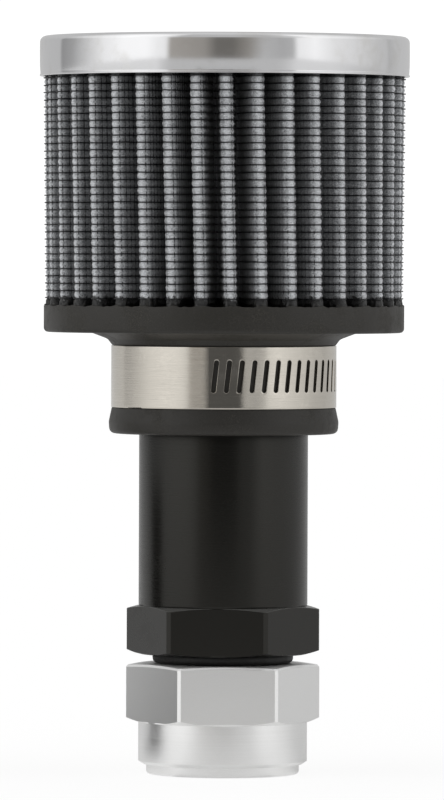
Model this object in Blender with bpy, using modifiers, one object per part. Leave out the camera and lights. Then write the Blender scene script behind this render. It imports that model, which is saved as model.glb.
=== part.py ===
"""Clamp-on breather filter on a screw-in body with a weld bung.

The model stands on the bung's lower face: the origin is the centre of that face and +Z runs up
the common axis of every turned piece. Lengths are metres. The front of the object faces -Y and
the clamp's screw is at the back.
"""

import math

import bmesh
import bpy
from mathutils import Matrix, Vector

mm = 0.001

# Weld bung: pilot, round shank and hexagon, from the bottom up
pilot_step = 1.65 * mm
pilot_height = 2.05 * mm
pilot_edge = 0.7 * mm
bar_across_flats = 34.925 * mm
bar_skim = 0.06 * mm
weld_chamfer_width = 1.0 * mm
weld_chamfer_height = 0.65 * mm
bung_shank_height = 8.65 * mm
bung_hex_height = 12.1 * mm
bung_hex_turn = math.radians(3.45)
bung_corner_trim = 0.23 * mm
bung_lower_chamfer = 0.9 * mm
bung_upper_chamfer = 0.4 * mm
bung_mouth_chamfer = 0.7 * mm

# Thread of the joint between bung and body
thread_pitch = 2.11667 * mm
thread_crest_radius = 13.4 * mm
thread_depth = 1.25 * mm
thread_crest_half_width = 0.2 * mm
thread_root_half_width = 0.85 * mm
thread_radial_clearance = 0.3 * mm
thread_side_clearance = 0.14 * mm
thread_turns = 5
thread_points_per_turn = 20
thread_sink = 0.2 * mm
thread_run_out = 1 / 3
thread_end_size = 0.12

# Seal between bung and body
seal_section = 2.3 * mm
seal_gap = 0.06 * mm
seal_side_gap = 0.2 * mm
seal_sides = 8
gland_relief = 0.15 * mm

# Breather body
body_hex_height = 9.5 * mm
body_hex_turn = math.radians(-3.95)
body_corner_trim = 0.3 * mm
body_lower_chamfer = 0.75 * mm
body_upper_chamfer = 0.65 * mm
bare_tube_length = 35.4 * mm
threaded_end_wall = 1.95 * mm
threaded_end_lead = 1.1 * mm
tube_wall = 3.1 * mm
bore_step_height = 5.0 * mm
tube_edge_chamfer = 0.6 * mm

# Rubber base: neck and flange
neck_wall = 4.95 * mm
neck_foot_swell = 1.15 * mm
neck_foot_shoulder = 0.35 * mm
neck_foot_height = 5.3 * mm
neck_foot_edge = 1.1 * mm
grip_clearance = 0.15 * mm
flange_lip = 0.45 * mm
flange_height = 5.9 * mm
flange_edge = 0.8 * mm
stop_lip_rise = 2.4 * mm
stop_lip_reach = 2.35 * mm
socket_depth = 2.6 * mm
inner_wall_drop = 0.8 * mm

# Pleated element
pleat_count = 37
pleat_depth = 12.7 * mm
pleat_show_height = 47.0 * mm
tip_fold_width = 2.8 * mm
valley_fold_width = 2.7 * mm
screen_thickness = 0.24 * mm
gauze_thickness = 0.5 * mm
layer_gap = 0.12 * mm
pleat_turn = math.radians(-88.1)

# Cap and the potting in it
cap_radius = 38.1 * mm
cap_skirt_height = 8.3 * mm
cap_wall = 0.6 * mm
cap_edge = 1.2 * mm
cap_crown = 0.35 * mm
potting_wall = 0.45 * mm
potting_rise = 1.2 * mm
potting_web = 1.6 * mm
potting_socket_depth = 3.4 * mm

# Hose clamp
band_width = 12.7 * mm
band_thickness = 0.58 * mm
band_gap = 0.12 * mm
band_drop = 2.7 * mm
band_rise_steps = 5
band_start_share = 0.8
slot_step = math.radians(6.48)
slot_start = math.radians(266.0)
slot_count = 33
slot_length = 6.7 * mm
slot_width = 1.0 * mm
slot_lean = math.radians(6.35)
slot_end_steps = 2
saddle_thickness = 0.6 * mm
saddle_width = 12.9 * mm
saddle_length = 13.4 * mm
saddle_steps = 6
housing_length = 12.4 * mm
housing_wall = 0.75 * mm
housing_arch_steps = 8
housing_shoulder_share = 0.35
worm_crest_radius = 3.85 * mm
worm_thread_depth = 1.1 * mm
worm_length = 10.4 * mm
worm_points_per_turn = 16
worm_foot_share = 0.36
worm_crest_share = 0.14
worm_gap = 0.25 * mm
screw_flange_radius = 4.9 * mm
screw_flange_thickness = 1.1 * mm
screw_head_across_flats = 8.0 * mm
screw_head_length = 5.4 * mm
screw_washer_share = 0.8
driver_slot_width = 1.2 * mm
driver_slot_depth = 1.8 * mm

# Clearance between pieces that seat on each other, and how far a cutter runs past its piece
clearance = 0.3 * mm
overrun = 2.0 * mm

# Round pieces are turned in this many steps
wide_steps = 48
narrow_steps = 40
screw_steps = 20

# Heights worked out from the sizes above
bung_hex_foot = pilot_height + bung_shank_height
bung_top = bung_hex_foot + bung_hex_height
body_foot = bung_top + seal_section + 2 * seal_gap
body_hex_top = body_foot + body_hex_height
neck_foot = body_hex_top + bare_tube_length
neck_length = neck_foot_height + band_gap + band_width + band_drop
flange_foot = neck_foot + neck_length
flange_top = flange_foot + flange_height
stop_lip_foot = flange_foot + stop_lip_rise
tube_top = stop_lip_foot - clearance
cap_foot = flange_top + pleat_show_height
cap_top = cap_foot + cap_skirt_height

# Radii of the bung, the seal and the body
bar_radius = bar_across_flats / 2 - bar_skim
bar_corner_radius = bar_across_flats / 2 / math.cos(math.radians(30))
pilot_radius = bar_radius - pilot_step
bung_corner_radius = bar_corner_radius - bung_corner_trim
body_corner_radius = bar_corner_radius - body_corner_trim
thread_root_radius = thread_crest_radius - thread_depth
thread_slope = (thread_root_half_width - thread_crest_half_width) / thread_depth
thread_length = thread_turns * thread_pitch
thread_foot = body_foot - seal_section - thread_length
gland_radius = thread_root_radius - gland_relief
seal_radius = gland_radius + seal_side_gap + seal_section / 2
body_lower_bore_radius = thread_root_radius - threaded_end_wall
body_upper_bore_radius = bar_radius - tube_wall

# Radii of the rubber base and of the pleats that stand in it
neck_bore_radius = bar_radius + grip_clearance
neck_radius = neck_bore_radius + neck_wall
neck_foot_radius = neck_radius + neck_foot_swell
stop_lip_radius = neck_bore_radius - stop_lip_reach
potting_radius = cap_radius - cap_wall - grip_clearance
pleat_tip_radius = potting_radius - potting_wall - grip_clearance

pack_thickness = 2 * screen_thickness + gauze_thickness + 2 * layer_gap
pleat_valley_radius = pleat_tip_radius - pleat_depth
pack_foot = flange_top - socket_depth + clearance
potting_foot = cap_foot + potting_rise
pack_top = potting_foot + potting_socket_depth - clearance
socket_outer_radius = pleat_tip_radius + grip_clearance
socket_inner_radius = pleat_valley_radius - clearance
flange_radius = socket_outer_radius + flange_lip

# The clamp's place and its layers, from the neck outwards
band_foot = flange_foot - band_drop - band_width
band_middle = band_foot + band_width / 2
band_radius = neck_radius + band_gap
saddle_radius = band_radius + band_thickness + band_gap
band_overlap_radius = saddle_radius + saddle_thickness + band_gap
screw_distance = band_overlap_radius + band_thickness + worm_gap + worm_crest_radius
housing_angle = math.radians(90)
housing_foot_radius = saddle_radius + band_gap
saddle_half_angle = saddle_length / 2 / saddle_radius
worm_pitch = slot_step * band_radius
worm_root_radius = worm_crest_radius - worm_thread_depth


def clear_scene():
    """Removes every object that the file starts with."""
    for old in list(bpy.data.objects):
        bpy.data.objects.remove(old, do_unlink=True)


def new_collection(name):
    made = bpy.data.collections.new(name)
    bpy.context.scene.collection.children.link(made)
    return made


def finish_material(name, colour, roughness, metallic):
    """A Principled material for one finish."""
    made = bpy.data.materials.new(name)
    made.use_nodes = True
    shader = made.node_tree.nodes["Principled BSDF"]
    shader.inputs["Base Color"].default_value = (*colour, 1.0)
    shader.inputs["Roughness"].default_value = roughness
    shader.inputs["Metallic"].default_value = metallic
    return made


def add_object(name, data, collection, material=None):
    made = bpy.data.objects.new(name, data)
    collection.objects.link(made)
    if material is not None:
        data.materials.append(material)
    return made


def as_helper(helper):
    """Marks a cutter or another shape that isn't a part by itself."""
    helper.hide_render = True
    helper.display_type = "WIRE"
    return helper


def boolean(target, operation, other):
    modifier = target.modifiers.new(f"{operation.lower()}_{other.name}", "BOOLEAN")
    modifier.operation = operation
    modifier.object = other
    return modifier


def turned(name, profile, steps, collection, material=None, closed=True):
    """A turned piece: the (radius, height) profile runs down its outer side and is swept round Z."""
    count = len(profile)
    edges = [(i, i + 1) for i in range(count - 1)]
    if closed:
        edges.append((count - 1, 0))
    mesh = bpy.data.meshes.new(name)
    mesh.from_pydata([(radius, 0.0, height) for radius, height in profile], edges, [])
    made = add_object(name, mesh, collection, material)
    screw = made.modifiers.new("turn", "SCREW")
    screw.axis = "Z"
    screw.angle = 2 * math.pi
    screw.steps = steps
    screw.render_steps = steps
    screw.use_merge_vertices = True
    screw.merge_threshold = 1e-5
    screw.use_smooth_shade = True
    return made


def arc(centre, radius, start, end, steps):
    """Points on an arc in the (radius, height) plane, angles in degrees, both ends included."""
    angles = [math.radians(start + (end - start) * i / steps) for i in range(steps + 1)]
    return [(centre[0] + radius * math.cos(a), centre[1] + radius * math.sin(a)) for a in angles]


def mesh_of_curve(curve_object, collection):
    """The curve as a mesh object with welded caps, which a Boolean can use. The curve is removed."""
    graph = bpy.context.evaluated_depsgraph_get()
    mesh = bpy.data.meshes.new_from_object(curve_object.evaluated_get(graph))
    work = bmesh.new()
    work.from_mesh(mesh)
    bmesh.ops.remove_doubles(work, verts=work.verts, dist=1e-7)
    bmesh.ops.recalc_face_normals(work, faces=work.faces)
    work.to_mesh(mesh)
    work.free()
    name, place = curve_object.name, curve_object.matrix_world.copy()
    bpy.data.objects.remove(curve_object, do_unlink=True)
    made = bpy.data.objects.new(name, mesh)
    made.matrix_world = place
    collection.objects.link(made)
    return made


def flat_outline(name, loops, thickness, collection, material=None):
    """A plate from closed loops of (x, y) points, centred on its thickness along Z."""
    outline = bpy.data.curves.new(name, "CURVE")
    outline.dimensions = "2D"
    outline.fill_mode = "BOTH"
    outline.extrude = thickness / 2
    for loop in loops:
        spline = outline.splines.new("POLY")
        spline.points.add(len(loop) - 1)
        spline.use_cyclic_u = True
        for point, (x, y) in zip(spline.points, loop):
            point.co = (x, y, 0.0, 1.0)
    return add_object(name, outline, collection, material)


def helical_ridge(name, pitch, length, radii, half_widths, points_per_turn, collection):
    """A screw thread's ridge round Z from height 0 to length, running out to a point at both ends.

    Its section is a trapezoid with the given foot and crest radii and half widths.
    """
    foot_radius, crest_radius = radii
    foot_half, crest_half = half_widths
    section = flat_outline(
        name + "_section",
        [
            [
                (0.0, -foot_half),
                (crest_radius - foot_radius, -crest_half),
                (crest_radius - foot_radius, crest_half),
                (0.0, foot_half),
            ]
        ],
        0.0,
        collection,
    )
    section.data.fill_mode = "NONE"
    path = bpy.data.curves.new(name, "CURVE")
    path.dimensions = "3D"
    path.twist_mode = "Z_UP"
    path.bevel_mode = "OBJECT"
    path.bevel_object = section
    path.use_fill_caps = True
    steps = round(length / pitch * points_per_turn)
    spline = path.splines.new("POLY")
    spline.points.add(steps)
    run_out = points_per_turn * thread_run_out
    for i, point in enumerate(spline.points):
        turn = 2 * math.pi * i / points_per_turn
        height = pitch * i / points_per_turn
        point.co = (foot_radius * math.cos(turn), foot_radius * math.sin(turn), height, 1.0)
        point.radius = max(thread_end_size, min(1.0, (i + 1) / run_out, (steps - i + 1) / run_out))
    ridge = add_object(name, path, collection)
    bpy.context.view_layer.update()
    ridge = mesh_of_curve(ridge, collection)
    bpy.data.objects.remove(section, do_unlink=True)
    return as_helper(ridge)


def hexagon_ring(name, heights, radii, chamfers, turn, cutters):
    """The hexagon of a turned piece: a ring with chamfered corners, kept inside a hexagonal bar.

    A turn of zero points one flat at -Y.
    """
    foot, top = heights
    inner_radius, corner_radius = radii
    lower_chamfer, upper_chamfer = chamfers
    flat = bar_across_flats / 2
    profile = [
        (inner_radius, top),
        (flat, top),
        (corner_radius, top - upper_chamfer),
        (corner_radius, foot + lower_chamfer),
        (flat, foot),
        (inner_radius, foot),
    ]
    ring = as_helper(turned(name, profile, wide_steps, cutters))
    work = bmesh.new()
    bmesh.ops.create_cone(
        work,
        cap_ends=True,
        segments=6,
        radius1=bar_corner_radius,
        radius2=bar_corner_radius,
        depth=top - foot + 2 * overrun,
        matrix=Matrix.Translation((0, 0, (top + foot) / 2))
        @ Matrix.Rotation(turn + math.radians(30), 4, "Z"),
    )
    mesh = bpy.data.meshes.new(name + "_bar")
    work.to_mesh(mesh)
    work.free()
    boolean(ring, "INTERSECT", as_helper(add_object(name + "_bar", mesh, cutters)))
    return ring


def make_bung(parts, cutters, material):
    """Weld bung: threaded ring with a pilot that drops in the tank's hole."""
    bore_radius = thread_root_radius + thread_radial_clearance
    mouth_radius = bore_radius + bung_mouth_chamfer
    land_radius = (mouth_radius + bar_radius) / 2
    profile = [
        (bar_radius, bung_top - bung_hex_height / 2),
        (bar_radius, pilot_height + weld_chamfer_height),
        (bar_radius - weld_chamfer_width, pilot_height),
        (pilot_radius, pilot_height),
        *arc((pilot_radius - pilot_edge, pilot_edge), pilot_edge, 0, -90, 3),
        (mouth_radius, 0.0),
        (bore_radius, bung_mouth_chamfer),
        (bore_radius, bung_top - bung_mouth_chamfer),
        (mouth_radius, bung_top),
        (land_radius, bung_top),
        (land_radius, bung_top - bung_hex_height / 2),
    ]
    bung = turned("weld_bung", profile, narrow_steps, parts, material)
    hexagon = hexagon_ring(
        "bung_hexagon",
        (bung_hex_foot, bung_top),
        (land_radius - clearance, bung_corner_radius),
        (bung_lower_chamfer, bung_upper_chamfer),
        bung_hex_turn,
        cutters,
    )
    boolean(bung, "UNION", hexagon)
    groove_crest = thread_crest_radius + thread_radial_clearance
    groove_foot = bore_radius - clearance
    groove_crest_half = thread_crest_half_width + thread_side_clearance
    groove = helical_ridge(
        "bung_thread",
        thread_pitch,
        thread_length + 2 * thread_pitch,
        (groove_foot, groove_crest),
        (groove_crest_half + thread_slope * (groove_crest - groove_foot), groove_crest_half),
        thread_points_per_turn,
        cutters,
    )
    groove.location.z = thread_foot - thread_pitch
    boolean(bung, "DIFFERENCE", groove)
    return bung


def make_seal(parts, material):
    """O-ring between the body's hexagon and the bung."""
    height = bung_top + seal_gap + seal_section / 2
    last = 90 - 360 * (seal_sides - 1) / seal_sides
    profile = arc((seal_radius, height), seal_section / 2, 90, last, seal_sides - 1)
    return turned("o_ring", profile, narrow_steps, parts, material)


def make_body(parts, cutters, material):
    """Breather body: hollow tube, hexagon, gland for the seal and the male thread."""
    thread_end = thread_foot - threaded_end_lead
    step_height = body_hex_top + bore_step_height
    profile = [
        (bar_radius - tube_edge_chamfer, tube_top),
        (bar_radius, tube_top - tube_edge_chamfer),
        (bar_radius, body_foot + body_hex_height / 2),
        (thread_root_radius + clearance, body_foot + body_hex_height / 2),
        (thread_root_radius + clearance, body_foot + overrun / 2),
        (gland_radius, body_foot + overrun / 2),
        (gland_radius, body_foot - seal_section),
        (thread_root_radius, body_foot - seal_section - thread_sink),
        (thread_root_radius, thread_end + tube_edge_chamfer),
        (thread_root_radius - tube_edge_chamfer, thread_end),
        (body_lower_bore_radius, thread_end),
        (body_lower_bore_radius, step_height - (body_upper_bore_radius - body_lower_bore_radius)),
        (body_upper_bore_radius, step_height),
        (body_upper_bore_radius, tube_top),
    ]
    body = turned("breather_body", profile, narrow_steps, parts, material)
    hexagon = hexagon_ring(
        "body_hexagon",
        (body_foot, body_hex_top),
        (gland_radius - clearance, body_corner_radius),
        (body_lower_chamfer, body_upper_chamfer),
        body_hex_turn,
        cutters,
    )
    boolean(body, "UNION", hexagon)
    ridge = helical_ridge(
        "body_thread",
        thread_pitch,
        thread_length - thread_pitch / 4,
        (thread_root_radius - thread_sink, thread_crest_radius),
        (thread_root_half_width + thread_slope * thread_sink / 2, thread_crest_half_width),
        thread_points_per_turn,
        cutters,
    )
    ridge.location.z = thread_foot
    boolean(body, "UNION", ridge)
    return body


def make_base(parts, material):
    """Moulded rubber base: neck for the clamp, flange, and a socket that the pleats stand in."""
    foot_middle = neck_foot + neck_foot_height / 2
    under_band = band_foot - band_gap
    fillet_radius = neck_radius + band_drop
    profile = [
        (socket_outer_radius, flange_top),
        (flange_radius, flange_top),
        *arc((flange_radius - flange_edge, flange_foot + flange_edge), flange_edge, 0, -90, 2),
        *arc((fillet_radius, flange_foot - band_drop), band_drop, 90, 180, 3),
        (neck_radius, under_band),
        (neck_radius + neck_foot_shoulder, under_band),
        (neck_foot_radius, foot_middle),
        *arc((neck_foot_radius - neck_foot_edge, neck_foot + neck_foot_edge), neck_foot_edge, -15, -90, 2),
        (neck_bore_radius, neck_foot),
        (neck_bore_radius, stop_lip_foot),
        (stop_lip_radius, stop_lip_foot),
        (stop_lip_radius, flange_top - inner_wall_drop),
        (socket_inner_radius, flange_top - inner_wall_drop),
        (socket_inner_radius, flange_top - socket_depth),
        (socket_outer_radius, flange_top - socket_depth),
    ]
    return turned("rubber_base", profile, wide_steps, parts, material)


def offset_outline(points, distance):
    """A closed counter-clockwise outline moved outwards by a distance, with mitred corners."""
    moved = []
    for i, here in enumerate(points):
        before = (here - points[i - 1]).normalized()
        after = (points[(i + 1) % len(points)] - here).normalized()
        sides = [Vector((run.y, -run.x)) for run in (before, after)]
        moved.append(here + (sides[0] + sides[1]) * distance / (1 + sides[0].dot(sides[1])))
    return moved


def pleat_loop(side):
    """Outline of the folded pack at a distance outside its middle surface.

    Every pleat has a flat fold at its tip and another in its valley, and straight walls between.
    """
    half_step = math.pi / pleat_count
    folds = (
        (0.0, pleat_tip_radius - pack_thickness / 2, (tip_fold_width - pack_thickness) / 2),
        (half_step, pleat_valley_radius + pack_thickness / 2, (valley_fold_width - pack_thickness) / 2),
    )
    middle = []
    for k in range(pleat_count):
        for lag, radius, half_width in folds:
            turn = Matrix.Rotation(pleat_turn + 2 * half_step * k + lag, 2)
            middle.append(turn @ Vector((radius, -half_width)))
            middle.append(turn @ Vector((radius, half_width)))
    return offset_outline(middle, side)


def make_pleats(name, outer_side, thickness, parts, material):
    """One pleated layer: the space between two parallel outlines, standing in the base's socket."""
    loops = [pleat_loop(outer_side), pleat_loop(outer_side - thickness)]
    layer = flat_outline(name, loops, pack_top - pack_foot, parts, material)
    layer.location.z = (pack_top + pack_foot) / 2
    return layer


def make_pack(parts, screen, gauze):
    """Outer wire screen, cotton gauze and inner wire screen, from the outside in."""
    outer = pack_thickness / 2
    gauze_side = outer - screen_thickness - layer_gap
    inner_side = gauze_side - gauze_thickness - layer_gap
    make_pleats("outer_screen", outer, screen_thickness, parts, screen)
    make_pleats("gauze_media", gauze_side, gauze_thickness, parts, gauze)
    make_pleats("inner_screen", inner_side, screen_thickness, parts, screen)


def make_cap(parts, material):
    """Pressed metal cap: a crowned disc with a rounded edge and a plain skirt."""
    inner_radius = cap_radius - cap_wall
    rim_top = cap_top - cap_crown
    inner_edge = cap_edge - cap_wall
    profile = [
        (0.0, cap_top),
        (cap_radius / 2, cap_top - cap_crown / 4),
        *arc((cap_radius - cap_edge, rim_top - cap_edge), cap_edge, 90, 0, 3),
        (cap_radius, cap_foot),
        (inner_radius, cap_foot),
        *arc((inner_radius - inner_edge, rim_top - cap_edge), inner_edge, 0, 90, 1),
        (cap_radius / 2, cap_top - cap_crown / 4 - cap_wall),
        (0.0, cap_top - cap_wall),
    ]
    return turned("end_cap", profile, wide_steps, parts, material, closed=False)


def make_potting(parts, material):
    """Potting that bonds the pleats in the cap: a disc with a socket for their upper ends."""
    top = cap_top - cap_crown - cap_wall - clearance
    socket_top = potting_foot + potting_socket_depth
    web_foot = top - potting_web
    profile = [
        (0.0, top),
        (potting_radius - cap_edge, top),
        (potting_radius, top - cap_edge),
        (potting_radius, potting_foot),
        (socket_outer_radius, potting_foot),
        (socket_outer_radius, socket_top),
        (socket_inner_radius, socket_top),
        (socket_inner_radius, potting_foot),
        (socket_inner_radius - potting_web, potting_foot),
        (socket_inner_radius - potting_web, web_foot),
        (0.0, web_foot),
    ]
    return turned("cap_potting", profile, wide_steps, parts, material, closed=False)


def rising_radius(angle, rise_start, rise_end):
    """Inner radius of the band: on the neck, then lifted over the saddle by a smooth ramp."""
    share = min(1.0, max(0.0, (angle - rise_start) / (rise_end - rise_start)))
    lift = band_overlap_radius - band_radius
    return band_radius + lift * share * share * (3 - 2 * share)


def strip(name, angles, radii, foot, width, thickness, collection, material):
    """A thin strip round Z: a row of upright faces at the given radii, thickened outwards."""
    mesh = bpy.data.meshes.new(name)
    work = bmesh.new()
    lower = [work.verts.new((r * math.cos(a), r * math.sin(a), foot)) for a, r in zip(angles, radii)]
    ends = bmesh.ops.extrude_edge_only(
        work, edges=[work.edges.new((p, q)) for p, q in zip(lower, lower[1:])]
    )
    raised = [part for part in ends["geom"] if isinstance(part, bmesh.types.BMVert)]
    bmesh.ops.translate(work, verts=raised, vec=(0, 0, width))
    bmesh.ops.recalc_face_normals(work, faces=work.faces)
    middle = work.faces[:][0]
    if middle.normal.dot(middle.calc_center_median() * Vector((1, 1, 0))) < 0:
        bmesh.ops.reverse_faces(work, faces=work.faces)
    work.to_mesh(mesh)
    work.free()
    made = add_object(name, mesh, collection, material)
    wall = made.modifiers.new("wall", "SOLIDIFY")
    wall.thickness = thickness
    wall.offset = 1.0
    wall.use_even_offset = True
    return made


def slot_cutters(angles, radii, cutters):
    """One leaning slot with round ends at each angle, as a single cutter for the band."""
    upper = arc((0.0, slot_length / 2 - slot_width / 2), slot_width / 2, 0, 180, slot_end_steps)
    outline = upper + [(-x, -y) for x, y in upper]
    slot = flat_outline("slot", [outline], 2 * overrun, cutters)
    bpy.context.view_layer.update()
    slot = mesh_of_curve(slot, cutters)
    work = bmesh.new()
    upright = Matrix.Rotation(math.pi / 2, 4, "X") @ Matrix.Rotation(-slot_lean, 4, "Z")
    for angle, radius in zip(angles, radii):
        place = (
            Matrix.Rotation(angle + math.pi / 2, 4, "Z")
            @ Matrix.Translation((0, -radius, band_middle))
            @ upright
        )
        before = len(work.verts)
        work.from_mesh(slot.data)
        bmesh.ops.transform(work, matrix=place, verts=work.verts[before:])
    mesh = bpy.data.meshes.new("band_slots")
    work.to_mesh(mesh)
    work.free()
    bpy.data.objects.remove(slot, do_unlink=True)
    return as_helper(add_object("band_slots", mesh, cutters))


def make_band(parts, cutters, material):
    """The clamp's band: once round the neck, up over the saddle, and on as a short tail."""
    start = housing_angle - saddle_half_angle * band_start_share
    full = housing_angle + 2 * math.pi
    rise_end = full - saddle_half_angle - slot_step / 2
    rise_start = rise_end - band_rise_steps * slot_step
    slot_angles = [slot_start + i * slot_step for i in range(slot_count)]
    slotted = [a - slot_step / 2 for a in slot_angles] + [slot_angles[-1] + slot_step / 2]
    plain_steps = round((slotted[0] - start) / slot_step)
    plain = [start + (slotted[0] - start) * i / plain_steps for i in range(plain_steps)]
    angles = plain + slotted + [slotted[-1] + slot_step / 2]
    radii = [rising_radius(a, rise_start, rise_end) for a in angles]
    band = strip("clamp_band", angles, radii, band_foot, band_width, band_thickness, parts, material)
    slot_radii = [rising_radius(a, rise_start, rise_end) for a in slot_angles]
    boolean(band, "DIFFERENCE", slot_cutters(slot_angles, slot_radii, cutters))
    return band


def make_saddle(parts, material):
    """Curved plate under the housing, between the band's two layers."""
    angles = [
        housing_angle + saddle_half_angle * (2 * i / saddle_steps - 1)
        for i in range(saddle_steps + 1)
    ]
    foot = band_middle - saddle_width / 2
    radii = [saddle_radius] * len(angles)
    return strip("clamp_saddle", angles, radii, foot, saddle_width, saddle_thickness, parts, material)


def block(name, low, high, cutters):
    """A box between two corners, used as a cutter."""
    size = [b - a for a, b in zip(low, high)]
    middle = [(a + b) / 2 for a, b in zip(low, high)]
    work = bmesh.new()
    bmesh.ops.create_cube(work, size=1.0, matrix=Matrix.Translation(middle) @ Matrix.Diagonal((*size, 1.0)))
    mesh = bpy.data.meshes.new(name)
    work.to_mesh(mesh)
    work.free()
    return as_helper(add_object(name, mesh, cutters))


def rod(name, radius, start, end, segments, cutters):
    """A round or hexagonal bar along the screw's own Z, used as a cutter."""
    work = bmesh.new()
    bmesh.ops.create_cone(
        work,
        cap_ends=True,
        segments=segments,
        radius1=radius,
        radius2=radius,
        depth=end - start,
        matrix=Matrix.Translation((0, 0, (start + end) / 2)),
    )
    mesh = bpy.data.meshes.new(name)
    work.to_mesh(mesh)
    work.free()
    return as_helper(add_object(name, mesh, cutters))


def place_on_screw_axis(piece):
    """Lays a piece made round Z along the clamp screw's axis, with its +Z towards the head."""
    piece.rotation_euler = (0.0, -math.pi / 2, 0.0)
    piece.location = (0.0, screw_distance, band_middle)
    return piece


def make_housing(parts, cutters, material):
    """Screw housing: an arch over the screw whose legs reach down past both edges of the band."""
    arch = worm_crest_radius + clearance
    leg = saddle_width / 2 + grip_clearance
    shoulder = band_overlap_radius + band_thickness + clearance
    window = math.sqrt(arch**2 - worm_root_radius**2)
    outer_arch = arch + housing_wall
    outer_leg = leg + housing_wall
    side = [
        (outer_leg, housing_foot_radius),
        (outer_leg, shoulder + housing_wall / 2),
        (outer_arch, screw_distance - outer_arch * housing_shoulder_share),
    ]
    over = arc((0.0, screw_distance), outer_arch, 0, 180, housing_arch_steps)
    outline = side + over + [(-x, y) for x, y in reversed(side)]
    # The outline is drawn as (height from the band's middle, distance from the axis).
    shell = flat_outline("clamp_housing", [outline], housing_length, parts, material)
    bpy.context.view_layer.update()
    shell = mesh_of_curve(shell, parts)
    shell.data.transform(Matrix.Rotation(-math.pi / 2, 4, "Y"))
    shell.data.transform(Matrix.Translation((0, 0, band_middle)))
    half = housing_length / 2
    tunnel = place_on_screw_axis(
        rod("worm_tunnel", arch, -half - overrun, half - housing_wall, screw_steps, cutters)
    )
    neck_hole = place_on_screw_axis(
        rod("screw_neck_hole", worm_root_radius + clearance, 0.0, half + overrun, screw_steps, cutters)
    )
    passage = block(
        "band_passage",
        (-half - overrun, housing_foot_radius - overrun, band_middle - leg),
        (half + overrun, shoulder, band_middle + leg),
        cutters,
    )
    worm_window = block(
        "worm_window",
        (-half - overrun, shoulder - clearance, band_middle - window),
        (half - housing_wall, screw_distance - worm_root_radius, band_middle + window),
        cutters,
    )
    for cutter in (passage, worm_window, tunnel, neck_hole):
        boolean(shell, "DIFFERENCE", cutter)
    return shell


def make_screw(parts, cutters, material):
    """Worm screw with a flanged hexagon head and a driver slot, modelled along its own Z."""
    half = housing_length / 2
    worm_end = half - housing_wall - clearance
    worm_start = worm_end - worm_length
    flange_foot_place = half + clearance
    head_foot = flange_foot_place + screw_flange_thickness
    head_top = head_foot + screw_head_length
    head_corner = screw_head_across_flats / 2 / math.cos(math.radians(30))
    profile = [
        (0.0, head_foot + clearance),
        (screw_flange_radius * screw_washer_share - clearance, head_foot + clearance),
        (screw_flange_radius * screw_washer_share, head_foot),
        (screw_flange_radius, head_foot - screw_flange_thickness / 3),
        (screw_flange_radius, flange_foot_place),
        (worm_root_radius, flange_foot_place),
        (worm_root_radius, worm_start + clearance),
        (worm_root_radius - 2 * clearance, worm_start - clearance),
        (0.0, worm_start - clearance),
    ]
    screw = turned("clamp_screw", profile, screw_steps, parts, material, closed=False)
    head = rod("screw_head", head_corner, head_foot - clearance, head_top, 6, cutters)
    boolean(screw, "UNION", head)
    thread = helical_ridge(
        "worm_thread",
        worm_pitch,
        worm_length - worm_pitch / 2,
        (worm_root_radius - thread_sink, worm_crest_radius),
        (worm_pitch * worm_foot_share, worm_pitch * worm_crest_share),
        worm_points_per_turn,
        cutters,
    )
    thread.location.z = worm_start + worm_pitch / 4
    boolean(screw, "UNION", thread)
    driver_slot = block(
        "driver_slot",
        (-head_corner - overrun, -driver_slot_width / 2, head_top - driver_slot_depth),
        (head_corner + overrun, driver_slot_width / 2, head_top + overrun),
        cutters,
    )
    boolean(screw, "DIFFERENCE", driver_slot)
    for piece in (screw, head, driver_slot):
        place_on_screw_axis(piece)
    carrier = thread.location.z
    place_on_screw_axis(thread)
    thread.location.x -= carrier
    return screw


def main():
    clear_scene()
    parts = new_collection("breather_filter")
    cutters = new_collection("cutters")
    aluminium = finish_material("bare_aluminium", (0.72, 0.72, 0.71), 0.34, 1.0)
    anodised = finish_material("black_anodised", (0.022, 0.022, 0.024), 0.38, 0.6)
    rubber = finish_material("black_rubber", (0.035, 0.034, 0.033), 0.62, 0.0)
    seal_rubber = finish_material("seal_rubber", (0.012, 0.012, 0.012), 0.4, 0.0)
    screen = finish_material("coated_wire", (0.03, 0.03, 0.032), 0.45, 0.0)
    gauze = finish_material("cotton_gauze", (0.45, 0.46, 0.47), 0.9, 0.0)
    chrome = finish_material("chrome_plate", (0.78, 0.78, 0.79), 0.08, 1.0)
    potting = finish_material("potting_resin", (0.05, 0.05, 0.05), 0.5, 0.0)
    steel = finish_material("stainless_steel", (0.66, 0.64, 0.60), 0.24, 1.0)

    make_bung(parts, cutters, aluminium)
    make_seal(parts, seal_rubber)
    make_body(parts, cutters, anodised)
    make_base(parts, rubber)
    make_pack(parts, screen, gauze)
    make_potting(parts, potting)
    make_cap(parts, chrome)
    make_band(parts, cutters, steel)
    make_saddle(parts, steel)
    make_housing(parts, cutters, steel)
    make_screw(parts, cutters, steel)
    bpy.context.view_layer.update()


main()
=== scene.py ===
import bmesh
import bpy
import numpy as np
from mathutils import Matrix, Vector


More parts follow.
